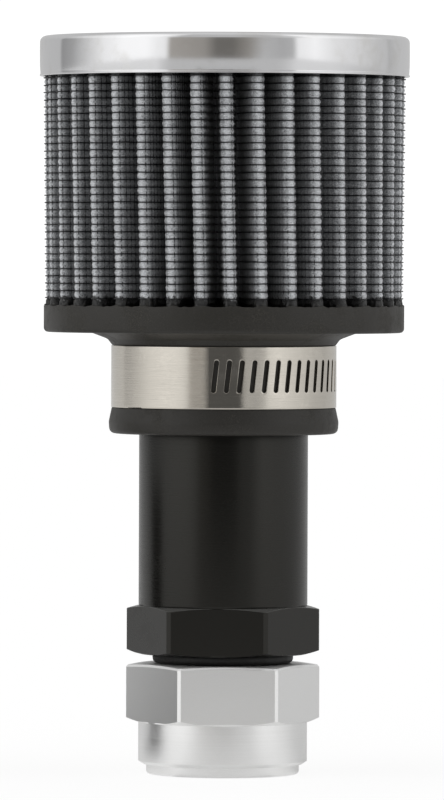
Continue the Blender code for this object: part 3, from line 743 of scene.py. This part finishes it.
def makeStudio():
    world = bpy.data.worlds.new("studio")
    bpy.context.scene.world = world
    world.use_nodes = True
    tree = world.node_tree
    tree.nodes.clear()
    direction = place(tree, "ShaderNodeTexCoord").outputs["Generated"]
    share, height = fromFront(direction)[1], axes(direction)[2]
    light = colourRamp(share, roundStops(studio["round"], studio["warmFrom"]))
    above = colourRamp(share, roundStops(studio["above"]))
    for name, upper in (("aboveFrom", above), ("zenithFrom", (studio["zenith"],) * 3)):
        light = mix(spread(height, 0.0, 1.0, *studio[name], "SMOOTHSTEP"), light, upper)
    # The object is lit by the studio, and the camera sees a plain background
    inputs = {0: place(tree, "ShaderNodeLightPath").outputs["Is Camera Ray"]}
    for key, colour, strength in ((1, light, 1.0), (2, (1, 1, 1, 1), studio["background"])):
        background = place(tree, "ShaderNodeBackground", {"Color": colour, "Strength": strength})
        inputs[key] = background.outputs[0]
    surface = place(tree, "ShaderNodeMixShader", inputs).outputs[0]
    place(tree, "ShaderNodeOutputWorld", {"Surface": surface})
    bpy.context.scene.view_settings.view_transform = "Standard"


def stagePiece(name, points, material):
    mesh = newMesh(name, [gridPatch(points, False)])
    mesh.materials.append(material)
    return newObject(name, mesh)


def makeFloor():
    material, shader, where = newMaterial(
        "paleFloor", (0.9, 0.9, 0.9), 0.7, Specular_IOR_Level=0.0, Emission_Strength=1.0
    )
    fine = useGroup(fineGrain, where, Size=8.0, Detail=2.0)
    isSeen = place(shader.id_data, "ShaderNodeLightPath").outputs["Is Camera Ray"]
    turn, share = fromFront(where["Object"])
    # In front it glows by the distance, counted in lengths of 2 m
    stops = greys((metres / 2, glow) for metres, glow in studio["floorFront"])
    front = colourRamp(sums("DIVIDE", fromAxis(where), 2.0), stops)
    sides = colourRamp(share, roundStops(studio["floorSides"]))
    isSide = spread(sums("ABSOLUTE", turn), 0.0, 1.0, *studio["floorSidesFrom"])
    feed(shader, {
        "Roughness": spread(fine, 0.66, 0.74),
        "Base Color": colourRamp(isSeen, greys(enumerate(studio["floor"]))),
        "Emission Color": mix(isSeen, mix(isSide, front, sides), (studio["floorSeen"],) * 3),
    })
    lines = np.array(studio["floorLines"])
    stagePiece("studioFloor", join(lines[None, :], lines[:, None], 0.0), material)


def makeCards():
    for name, card in cards.items():
        material, shader, where = newMaterial(name, (card["colour"],) * 3, 0.8, Specular_IOR_Level=0.0)
        fine = useGroup(fineGrain, where, Size=3.0, Detail=2.0)
        feed(shader, {"Roughness": spread(fine, 0.75, 0.85)})
        turn = np.radians(card["turn"])
        outward = np.array([np.sin(turn), -np.cos(turn), 0])
        across = np.array([np.cos(turn), np.sin(turn), 0]) * card["width"] / 2
        middle = np.array([outward * distance + (0, 0, height) for distance, height in card["outline"]])
        piece = stagePiece(name, np.stack([middle - across, middle + across], axis=1), material)
        piece.visible_camera = piece.visible_diffuse = piece.visible_shadow = False


makeCamera()
makeStudio()
makeFloor()
makeCards()
print("camera, studio light and floor are in place")


# Pressed cap

cap = {
    "steps": 288, "radius": 38.1, "crown": 0.35, "crownTo": 30,
    # (radius, height, rounding) from the middle under the top, down the inner side, round the lip
    # at the foot and up the skirt, whose lower part leans in a little
    "outline": [
        (0, 151.54, 0), (18, 151.54, 20), (30, 151.54, 20), (37.35, 151.19, 0.75), (37.5, 143.56, 0.12),
        (38.1, 143.56, 0.16), (38.1, 143.88, 0.1), (37.96, 143.98, 0.03), (37.97, 144.28, 0),
        (38.06, 145.7, 0), (38.08, 148.7, 0), (38.05, 151.79, 1.25), (30, 152.14, 20), (18, 152.14, 20),
        (0, 152.14, 0),
    ],
}


def makeCap():
    # The disc is crowned: height - crown (radius / cap radius)^2
    outline = np.array(cap["outline"], float)
    crown = cap["crown"] * (outline[:, 0] / cap["radius"]) ** 2
    outline[:, 1] -= np.where(outline[:, 0] > cap["crownTo"], 0, crown)
    points = turnedGrid(roundedLoop(outline, 6), fullTurn(cap["steps"]))
    look = chromeLook(), "chrome_plate"
    makePiece("endCap", [gridPatch(points)], look, "filter", "end_cap")


# Outer screen of woven wire

screen = {
    "radius": 0.135,  # of the wire
    "uprightRadius": 0.115,
    "offset": 0.55,  # of its middle, outside the pack's middle surface
    "uprightOffset": 0.305,
    "weave": 0.15,
    "sides": 5,
    "uprightSides": 6,
    "wander": 0.07,  # how far a wire strays from its row, in up to so many waves
    "waves": 60,
    "cells": [0.3, 0.6, 0.9, 1.2, 1.6, 2, 2.5, 3, 3.5, 4.5, 5.5, 6.5, 7.5, 8.5, 9.5],
}


def makeRoundWires(name, heights, firstRow, look):
    # Each wire is a tube along the fold: middle + radius (cos(a) outwards - sin(a) upwards).
    # The middle sways by cos(pi (cell + row + 1/2)), over one upright wire and under the next.
    cells = bothSides([0], screen["cells"])
    flat, outward = alongFold(cells)
    row = (firstRow + np.arange(len(heights)))[:, None]
    sway = np.cos(np.pi * (np.tile(cells, pleats["count"]) + row + 0.5))
    middle = flat + outward * (screen["offset"] + screen["weave"] * sway)[..., None]
    turn = np.arctan2(flat[:, 1], flat[:, 0])
    stray = np.stack([unevenness(turn, screen["wander"], screen["waves"], 100 + r) for r in row[:, 0]])
    a = fullTurn(screen["sides"])
    tube = middle[:, :, None] + screen["radius"] * np.cos(a)[:, None] * outward[:, None]
    tube = raised(tube, (heights[:, None] + stray)[..., None] - screen["radius"] * np.sin(a))
    patches = [gridPatch(wire, True, True) for wire in settled(tube)]
    makePiece(name, patches, look, "filter", "outer_screen", merge=0, sharp=80)


def makeUprightWires(look):
    # Straight tubes between the cells: place + radius (cos(a) outwards + sin(a) along the fold)
    flat, outward = alongFold(np.arange(-9.5, 10, 1), screen["uprightOffset"])
    ahead = join(-outward[:, 1], outward[:, 0])
    a = fullTurn(screen["uprightSides"])[:, None]
    across = np.cos(a) * outward[:, None] + np.sin(a) * ahead[:, None]
    size = screen["uprightRadius"] * np.array([0, 1, 1, 0])
    heights = np.array([pleats["foot"], pleats["foot"], pleats["top"], pleats["top"]])
    tube = raised(flat[:, None, None] + size[:, None, None] * across[:, None], heights[:, None])
    patches = [gridPatch(wire) for wire in settled(tube)]
    makePiece("screenUprightWires", patches, look, "filter", "outer_screen", sharp=80)


def makeScreen():
    look = wireLook("coatedWire", wireCoat["fibres"][0]), "coated_wire"
    heights = pleats["topRow"] - pleats["rowPitch"] * np.arange(pleats["rows"])
    half = len(heights) // 2
    makeRoundWires("screenUpperWires", heights[:half], 0, look)
    makeRoundWires("screenLowerWires", heights[half:], half, look)
    makeUprightWires((wireLook("coveredWire", wireCoat["fibres"][1]), "coated_wire"))


# Cotton gauze behind the wire

gauze = {
    "outer": 0.30, "inner": -0.25, "pillow": 0.25, "atUpright": 0.72, "uneven": 0.35,
    "cells": [2.5, 3, 3.5, 4, 5.5, 7, 8.5],
}


def makeGauze():
    # The outer side bulges between the wires: offset + pillow * bulge(row) * (least + rest *
    # bulge(cell)), where a bulge is (1 + cos(2 pi cell)) / 2 to the power 0.6. The inner side is plain.
    cells = np.append(bothSides(np.arange(-2, 2.01, 0.25), gauze["cells"]), 10)
    pitch, foot, top = pleats["rowPitch"], pleats["foot"], pleats["top"]
    steps = np.arange(-1, 2 * pleats["rows"] + 4)
    heights = pleats["topRow"] + 1.5 * pitch - steps[::-1] * pitch / 2
    heights = np.concatenate([[foot], heights[(heights > foot) & (heights < top)], [top]])
    bulge = lambda number: ((1 + np.cos(2 * np.pi * number)) / 2) ** 0.6
    allCells = np.tile(cells, pleats["count"])
    inRow = (pleats["topRow"] - heights) / pitch + 0.5
    random = np.random.default_rng(8)
    amount = 1 + gauze["uneven"] * random.uniform(-1, 1, (len(heights), len(allCells)))
    across = gauze["atUpright"] + (1 - gauze["atUpright"]) * bulge(allCells)
    out = gauze["outer"] + gauze["pillow"] * bulge(inRow)[:, None] * across * amount
    out = np.concatenate([out, np.full((2, len(allCells)), gauze["inner"])])
    heights = np.append(heights, [top, foot])
    quads, rowOf, colOf = gridQuads(*out.shape, True, True)
    look = cottonLook(), "cotton_gauze"
    patch = packSurface(cells, out, heights[:, None]).reshape(-1, 3), quads
    piece = makePiece("cottonGauze", [patch], look, "filter", "gauze_media", 0, 60)
    # The texture map counts cells: along the fold, and upwards
    lap, column = divmod(colOf, len(allCells))
    along = allCells[column] + pleats["cells"] * (column // len(cells) + lap * pleats["count"])
    layer = piece.data.uv_layers.new(name="cells")
    layer.data.foreach_set("uv", join(along, heights[rowOf % len(heights)] / pitch).ravel())


# Sealant at the foot of the pleats

sealant = {
    "outer": 0.6, "uneven": 0.1, "inner": 0.28, "height": 0.55, "ragged": 0.7,
    "sunk": 1.2,  # how far its foot reaches into the base
    "edge": [(0.06, 0.15), (0.16, 0)],  # inwards from the bead, and down from the upper edge
    "slope": 0.05,
    "cells": [4, 5.5, 7, 8.5],
}


def makeSealant(look):
    # A thin wall round the pleats with an uneven upper edge, from noise along the fold
    cells = np.append(bothSides(np.arange(-3, 3.01, 0.25), sealant["cells"]), 10)
    random = np.random.default_rng(21)
    total = len(cells) * pleats["count"]
    rough = random.uniform(-1, 1, total)
    rough = (np.roll(rough, 1) + 2 * rough + np.roll(rough, -1)) / 2.6
    ragged = pleats["baseTop"] + sealant["height"] + sealant["ragged"] * rough
    foot, inner = pleats["baseTop"] - sealant["sunk"], sealant["inner"]
    bead = sealant["outer"] + sealant["uneven"] * random.uniform(-1, 1, total)
    rows = [(bead, foot), (bead, (foot + ragged) / 2)]
    rows += [(bead - inwards, ragged - down) for inwards, down in sealant["edge"]]
    rows += [(inner, ragged - sealant["slope"]), (inner, foot)]
    out, heights = np.array([np.broadcast_arrays(*row, bead)[:2] for row in rows]).swapaxes(0, 1)
    patch = gridPatch(packSurface(cells, out, heights), True, True)
    makePiece("footSealant", [patch], look, "filter", "", sharp=50)


# Rubber base

base = {
    "columnsPerPleat": 16,
    # (radius, height, rounding) up the neck's swollen foot, the clamp's seat, the swelling above it
    # and the flange, in over the sunken top and down past the tube's stop in the bore
    "outline": [
        (23.5, 70.12, 1.15), (23.68, 72.52, 2.4), (23.08, 75.42, 0.12), (22.5, 75.44, 0.05),
        (22.5, 88.3, 0.05), (23.05, 88.32, 0.1), (23.95, 89.55, 1.6), (27.65, 90.94, 2.2),
        (37.12, 90.96, 0.85), (37.12, 96.84, 0.22), (36.62, 96.81, 0.2), (36.12, 96.74, 0.3),
        (35.12, 96.62, 0.4), (33.52, 96.39, 0.6), (24.2, 96.34, 0.2), (23.6, 96.04, 0.2),
        (15.2, 95.99, 0.3), (15.2, 93.34, 0.3), (17.55, 93.32, 0.1), (17.55, 70.12, 0.4),
    ],
    "rimDrop": 0.42,  # of the rim between two pleats
    "rimRise": 0.24,  # and how much higher it has crept at a pleat's tip
    "rimUneven": 0.11, "rimWaves": 190,
    "rimHeight": (-1.3, 1.1),  # from the top: where the rim begins, and over what height
    "rimRadius": (33.0, 2.5),
}


def makeBase(look):
    count = pleats["count"] * base["columnsPerPleat"]
    angles = np.radians(pleats["turn"] + pleats["twist"] / 2) + fullTurn(count)
    points = turnedGrid(roundedLoop(base["outline"], 4), angles)
    # The rim has crept up a little at each pleat's tip: height + rise near^2 - drop, fading out
    # below the rim and inside it
    near = (1 + np.cos(pleats["count"] * (angles - angles[0]))) / 2
    level = points[..., 2]
    radius = np.hypot(points[..., 0], points[..., 1])
    (start, rise), (inside, width) = base["rimHeight"], base["rimRadius"]
    share = smoothStep((level - pleats["baseTop"] - start) / rise) * smoothStep((radius - inside) / width)
    ragged = unevenness(angles, base["rimUneven"], base["rimWaves"], 31)
    points[..., 2] = level + share * (base["rimRise"] * near ** 2 - base["rimDrop"] + ragged)
    makePiece("rubberBase", [gridPatch(points, True, True)], look, "filter", "rubber_base")


# Clamp

clamp = {
    "middle": 81.89, "width": 12.7, "wall": 0.58, "edge": 0.1,
    "corner": 0.27,  # how far in from its edge the band's next row of points lies
    "radius": 22.6225,  # inner side of the band on the neck
    "overlap": 24.0425,  # and where it lies over the saddle
    "start": 76.8,  # degrees, as the next three
    "rise": (397.9, 430.3),
    "slotStart": 265.6, "slotStep": 6.48, "slots": 33,
    "slotLift": 0.3,  # above the band's middle
    "slotLength": 6.7, "slotWidth": 1.0,
    "slotLean": 6.35,  # degrees
    "saddleRadius": 23.3225, "saddleHalfAngle": 16.46, "saddleWidth": 12.9, "saddleWall": 0.6,
    "screwDistance": 28.7225,
    "housingLength": 12.4, "housingWall": 0.75, "housingEdge": 0.18,
    "housingFloor": 25.0,  # from here outwards the end wall follows the arch
    # (distance from the axis, rounding, height from the band's middle) of the housing's leg, with
    # the shoulder where the arch begins, and the arch's radius
    "housing": [(23.44, 0, 6.6), (25.1, 0.7, 6.6), (27.0225, 0.8, 4.15)],
    "arch": 4.15, "neckHole": 3.05, "endWall": 0.67,
    "flare": 0.012,  # how much wider the arch is at its ends
    "tailRound": 0.55,  # how much shorter the band's tail is at its corners, in half slot steps
}


def bandPoints(degrees, height):
    # The band's inner side: a circle that rises over the saddle by a smooth step of the angle
    start, end = clamp["rise"]
    rise = smoothStep((degrees - start) / (end - start))
    radius = clamp["radius"] + (clamp["overlap"] - clamp["radius"]) * rise
    return ringOf(radius, clamp["middle"] + height, np.radians(degrees))


def bandRows():
    half, corner = clamp["width"] / 2, clamp["corner"]
    return np.concatenate([[-half], np.linspace(corner - half, half - corner, 9), [half]])


def slotCell():
    # One slot and the metal round it, as rings that shrink from the cell's border to the slot's
    # outline. Each half turn of the outline is one flank with its end arcs and a piece of the end.
    radius, lean = clamp["slotWidth"] / 2, np.radians(clamp["slotLean"])
    halfStraight = clamp["slotLength"] / 2 - radius
    low = circle(np.radians([-45, -22.5, 0])) * radius - (0, halfStraight)
    straight = join(radius, np.linspace(-halfStraight, halfStraight, 7)[1:-1])
    high = circle(np.radians([0, 22.5, 45, 67.5, 90, 112.5])) * radius + (0, halfStraight)
    outline = np.concatenate([low, straight, high])
    outline = np.concatenate([outline, -outline])
    outline = outline @ np.array([[np.cos(lean), -np.sin(lean)], [np.sin(lean), np.cos(lean)]])
    outline = outline + (0, clamp["slotLift"])
    halfStep = np.radians(clamp["slotStep"] / 2) * clamp["radius"]
    over = join(halfStep * np.array([0.5, 0, -0.5]), clamp["width"] / 2)
    border = np.concatenate([join(halfStep, bandRows()), over])
    border = np.concatenate([border, -border])
    share = np.array([0, 0.1, 0.5, 0.88, 1])[:, None, None]
    return border * (1 - share) + outline * share


def makeBand(look):
    heights, step = bandRows()[:, None], clamp["slotStep"]
    slotted = clamp["slotStart"] - step / 2
    patches = [gridPatch(bandPoints(np.linspace(clamp["start"], slotted, 63), heights), False)]
    cell = slotCell()
    shift = np.degrees(cell[..., 0] / clamp["radius"])
    for i in range(clamp["slots"]):
        patches.append(gridPatch(bandPoints(clamp["slotStart"] + i * step + shift, cell[..., 1])))
    # The tail's end has rounded corners: it is shorter by a power of the height
    reach = step / 2 * (1 - clamp["tailRound"] * np.abs(heights / heights[-1]) ** 5)
    tail = slotted + clamp["slots"] * step + reach * np.array([0, 0.4, 0.8, 1])
    patches.append(gridPatch(bandPoints(tail, heights), False))
    makeSheetMetal("clampBand", patches, look, "clamp_band", clamp["wall"], clamp["edge"])


def makeSaddle(look):
    angles = np.radians(90 + np.linspace(-clamp["saddleHalfAngle"], clamp["saddleHalfAngle"], 25))
    heights = clamp["middle"] + clamp["saddleWidth"] / 2 * np.array([-1, -0.5, 0, 0.5, 1])
    patch = gridPatch(ringOf(clamp["saddleRadius"], heights[:, None], angles), False)
    makeSheetMetal("clampSaddle", [patch], look, "clamp_saddle", clamp["saddleWall"], clamp["edge"])


def makeHousing(look):
    # The arch is an outline of (height from the band's middle, distance from the axis), drawn
    # along X. Its end wall is ruled between the outline and the hole for the screw's neck.
    arch, axis, wall = clamp["arch"], clamp["screwDistance"], clamp["housingWall"]
    corners = [(h, d, r) for d, r, h in clamp["housing"]] + [(arch, axis + arch, arch - 0.02)]
    corners += [(-h, d, r) for h, d, r in corners[::-1]]
    outline = roundedLoop(corners, 8)
    half = clamp["housingLength"] / 2
    along = np.array([-half, -half + 1.2, -3, 0, 3, half - 1.2, half])[:, None]
    flare = 1 + clamp["flare"] * (np.abs(along) / half) ** 6
    up, out = outline.T
    rows = join(along, axis + (out - axis) * flare, clamp["middle"] + up * flare)
    patch = gridPatch(rows[::-1], False)
    makeSheetMetal("clampHousing", [patch], look, "clamp_housing", wall, clamp["housingEdge"])
    border = outline[out > clamp["housingFloor"]]
    border = np.concatenate([border, np.linspace(border[-1], border[0], 14)[1:-1]])
    hole = (0, axis) + unit(border - (0, axis)) * clamp["neckHole"]
    share = np.array([0, 0.5, 1])[:, None, None]
    ring = border * (1 - share) + hole * share
    patch = gridPatch(join(wall - half, ring[..., 1], clamp["middle"] + ring[..., 0]))
    makeSheetMetal("clampHousingEnd", [patch], look, "clamp_housing", clamp["endWall"], clamp["edge"])


def makeScrew(look):
    # The worm, its washer face and its slotted head keep the solid's shape: a merged copy of it
    # with smooth turns and broken edges
    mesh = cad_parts["clamp_screw"].data.copy()
    mesh.name = "clampScrew"
    breakEdges(finishPiece(mesh, look, "screw", "clamp_screw", 0.004, 30, level=2), 0.1, 40)


# Turned pieces with a hexagon

bar = {
    "apothem": 17.4625,
    # Distances from the axis between which the lathe's lines end, and where the flats begin
    "turned": (17.415, 17.455),
    "flat": (17.42, 17.46),
    "support": 0.12,  # how far the rows beside an edge stand from it, to keep the flats level
}


def hexAngles(turn, cornerRadius, steps=20):
    # Columns for a hexagon: the middle of each corner, and equal steps over each flat between the
    # angles at which the bar's corners are turned off. A turn of zero has one flat at -Y.
    reach = np.degrees(np.arccos(bar["apothem"] / cornerRadius))
    one = np.concatenate([[-30], np.linspace(-reach, reach, steps + 1)])
    return np.radians(-90 + turn + (np.arange(6) * 60)[:, None] + one).ravel()


def hexRows(angles, piece):
    # Radius at an angle: apothem / cos(angle from the flat's middle), at most the corner radius.
    # A chamfer is a cone from the flat's middle to the corner, and meets the hexagon where
    # height = end - chamfer (radius - apothem) / (corner radius - apothem).
    apothem, corner = bar["apothem"], piece["cornerRadius"]
    (foot, top), (lower, upper) = piece["heights"], piece["chamfers"]
    (footRadius, topRadius), (lowerEdge, upperEdge) = piece["ends"], piece["edges"]
    fromFlat = (np.degrees(angles) + 90 - piece["turn"] + 30) % 60 - 30
    radius = np.minimum(apothem / np.cos(np.radians(fromFlat)), corner)
    share = (radius - apothem) / (corner - apothem)
    low = foot + np.maximum(1.5 * lowerEdge, lower * share)
    high = top - 1.35 * upperEdge - upper * share
    rows = [
        (footRadius, foot), (radius, low), (radius, low + bar["support"]),
        (radius, high - bar["support"]), (radius, high),
        (radius - upperEdge, high + 1.2 * upperEdge), (topRadius, top),
    ]
    return np.stack([ringOf(*row, angles) for row in rows])


def threadPatch(angles, thread):
    # A screw thread as a sheared grid: height = foot + (row + turn) pitch, kept between foot and
    # top, and radius = root + depth * (trapezoid of the row) * (fade at both ends).
    # The last column joins the first one a whole pitch further on.
    pitch, crest, middle = thread["pitch"], thread["crest"], thread["pitch"] / 2
    (foot, top), (fadeIn, fadeOut) = thread["heights"], thread["fades"]
    wide = crest + thread["flank"]
    section = middle + np.array([-middle, -wide, -crest, 0, crest, wide])
    turns = int(np.ceil((top - foot) / pitch)) + 2
    lift = (section + pitch * (np.arange(turns) - 1)[:, None]).reshape(-1, 1)
    ridge = np.tile([0, 0, 1, 1, 1, 0], turns)[:, None]
    height = np.clip(foot + lift + pitch * (angles - angles[0]) / (2 * np.pi), foot, top)
    ends = smoothStep((height - fadeIn) / pitch * 2) * smoothStep((fadeOut - height) / pitch * 2)
    points = ringOf(thread["root"] + thread["depth"] * ridge * ends, height, angles)
    cols, step = len(angles), len(section)
    last = np.arange(len(lift) - 1 - step) * cols
    seam = join(last + cols - 1, last + step * cols, last + (step + 1) * cols, last + 2 * cols - 1)
    quads = np.concatenate([gridQuads(len(lift), cols, False)[0], seam])
    return points.reshape(-1, 3), quads[:, ::-1] if thread["inward"] else quads


def makeTurned(name, piece, look, rides, replaced):
    # The hexagon, the thread and the outlines carried round. Outlines with a third number are rounded.
    angles = hexAngles(piece["turn"], piece["cornerRadius"])
    patches = [gridPatch(hexRows(angles, piece)), threadPatch(angles, piece["thread"])]
    for outline in piece["outlines"]:
        profile = roundedLoop(outline, piece["steps"]) if len(outline[0]) == 3 else outline
        patches.append(gridPatch(turnedGrid(profile, angles)))
    makePiece(name, patches, look, rides, replaced, sharp=20)


# A hexagon's ends are the radii of the circles at its bottom and top, and its edges how broad the
# broken edges are. A thread fades in and out at two heights.

body = {
    "turn": -3.95, "cornerRadius": 19.864, "heights": (24.78, 34.72), "ends": (17.3225, 17.3225),
    "chamfers": (0.75, 0.65), "edges": (0.14, 0.1), "steps": 3,
    "outlines": [
        # Nose, neck under the hexagon with the seal's seat, tube and bore
        [(10.2, 11.54), (10.5, 11.24), (11.55, 11.24), (12.15, 11.84)],
        [
            (12.15, 22.65), (12.0, 22.8), (12.0, 25.12), (12.1, 25.22), (14.85, 25.22), (14.9, 24.78),
            (17.3225, 24.78),
        ],
        [
            (17.3225, 34.72, 0), (17.3425, 34.74, 0.02), (17.4025, 35.02, 0.2), (17.4025, 93.04, 0.5),
            (14.3, 93.04, 0.25), (14.3, 39.72, 0.3), (10.2, 35.6, 0.3), (10.2, 11.54, 0),
        ],
    ],
    "thread": {
        "heights": (11.84, 22.65), "fades": (12.2, 22.5), "root": 12.15, "inward": False,
        "pitch": 25.4 / 12, "depth": 1.25, "crest": 0.2, "flank": 0.65,
    },
}
bung = {
    "turn": 3.45, "cornerRadius": 19.934, "heights": (10.7, 22.8), "ends": (17.3975, 14.75),
    "chamfers": (0.9, 0.3), "edges": (0.2, 0.38), "steps": 4,
    "outlines": [
        # Pilot and shank with the weld's chamfer, and the seal's flat seat
        [
            (12.45, 0.7, 0), (13.15, 0, 0), (15.75, 0, 0.7), (15.75, 2.05, 0.12), (16.4025, 2.06, 0.1),
            (17.4025, 2.7, 0.2), (17.4005, 10.55, 0), (17.3975, 10.7, 0),
        ],
        [(14.75, 22.8), (13.15, 22.8), (12.45, 22.1)],
    ],
    "thread": {
        "heights": (0.7, 22.1), "fades": (0.8, 22.0), "root": 12.45, "inward": True,
        "pitch": 25.4 / 12, "depth": 1.25, "crest": 0.34, "flank": 0.6,
    },
}


# Seal

seal = {"radius": 13.35, "middle": 24.01, "section": 1.15, "press": 0.85, "steps": 160, "sides": 24}


def makeSeal(look):
    # A ring of round section, pressed a little flat: radius + section cos(a), middle + section
    # sin(a), with the sine and the cosine to the power of the press
    section = circle(fullTurn(seal["sides"]))
    section = np.sign(section) * np.abs(section) ** seal["press"]
    profile = (seal["radius"], seal["middle"]) + seal["section"] * section
    points = turnedGrid(profile, fullTurn(seal["steps"]))
    makePiece("sealRing", [gridPatch(points, True, True)], look, "seal", "o_ring")


makeCap()
makeScreen()
makeGauze()
rubberMaterial = rubberLook()
sealantMaterial = rubberLook("footSealantRubber", sealRubber["colour"], sealRubber["sealant"], 0.6)
makeSealant((sealantMaterial, "black_rubber"))
makeBase((rubberMaterial, "black_rubber"))
steelMaterial = steelLook()
for maker in (makeBand, makeSaddle, makeHousing, makeScrew):
    maker((steelMaterial, "stainless_steel"))
makeTurned("breatherBody", body, (anodisedLook(), "black_anodised"), "adapter", "breather_body")
makeTurned("weldBung", bung, (aluminiumLook(), "bare_aluminium"), "bung", "weld_bung")
makeSeal((rubberLook("sealRubber", sealRubber["colour"], sealRubber["roughness"], 0.4), "seal_rubber"))

for nodeName, material in (
    ("inner_screen", innerMeshLook()),
    ("cap_potting", rubberLook("pottingResin", resin["colour"], resin["roughness"], 0.8)),
):
    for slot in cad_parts[nodeName].material_slots:
        slot.material = material
print("all pieces made")
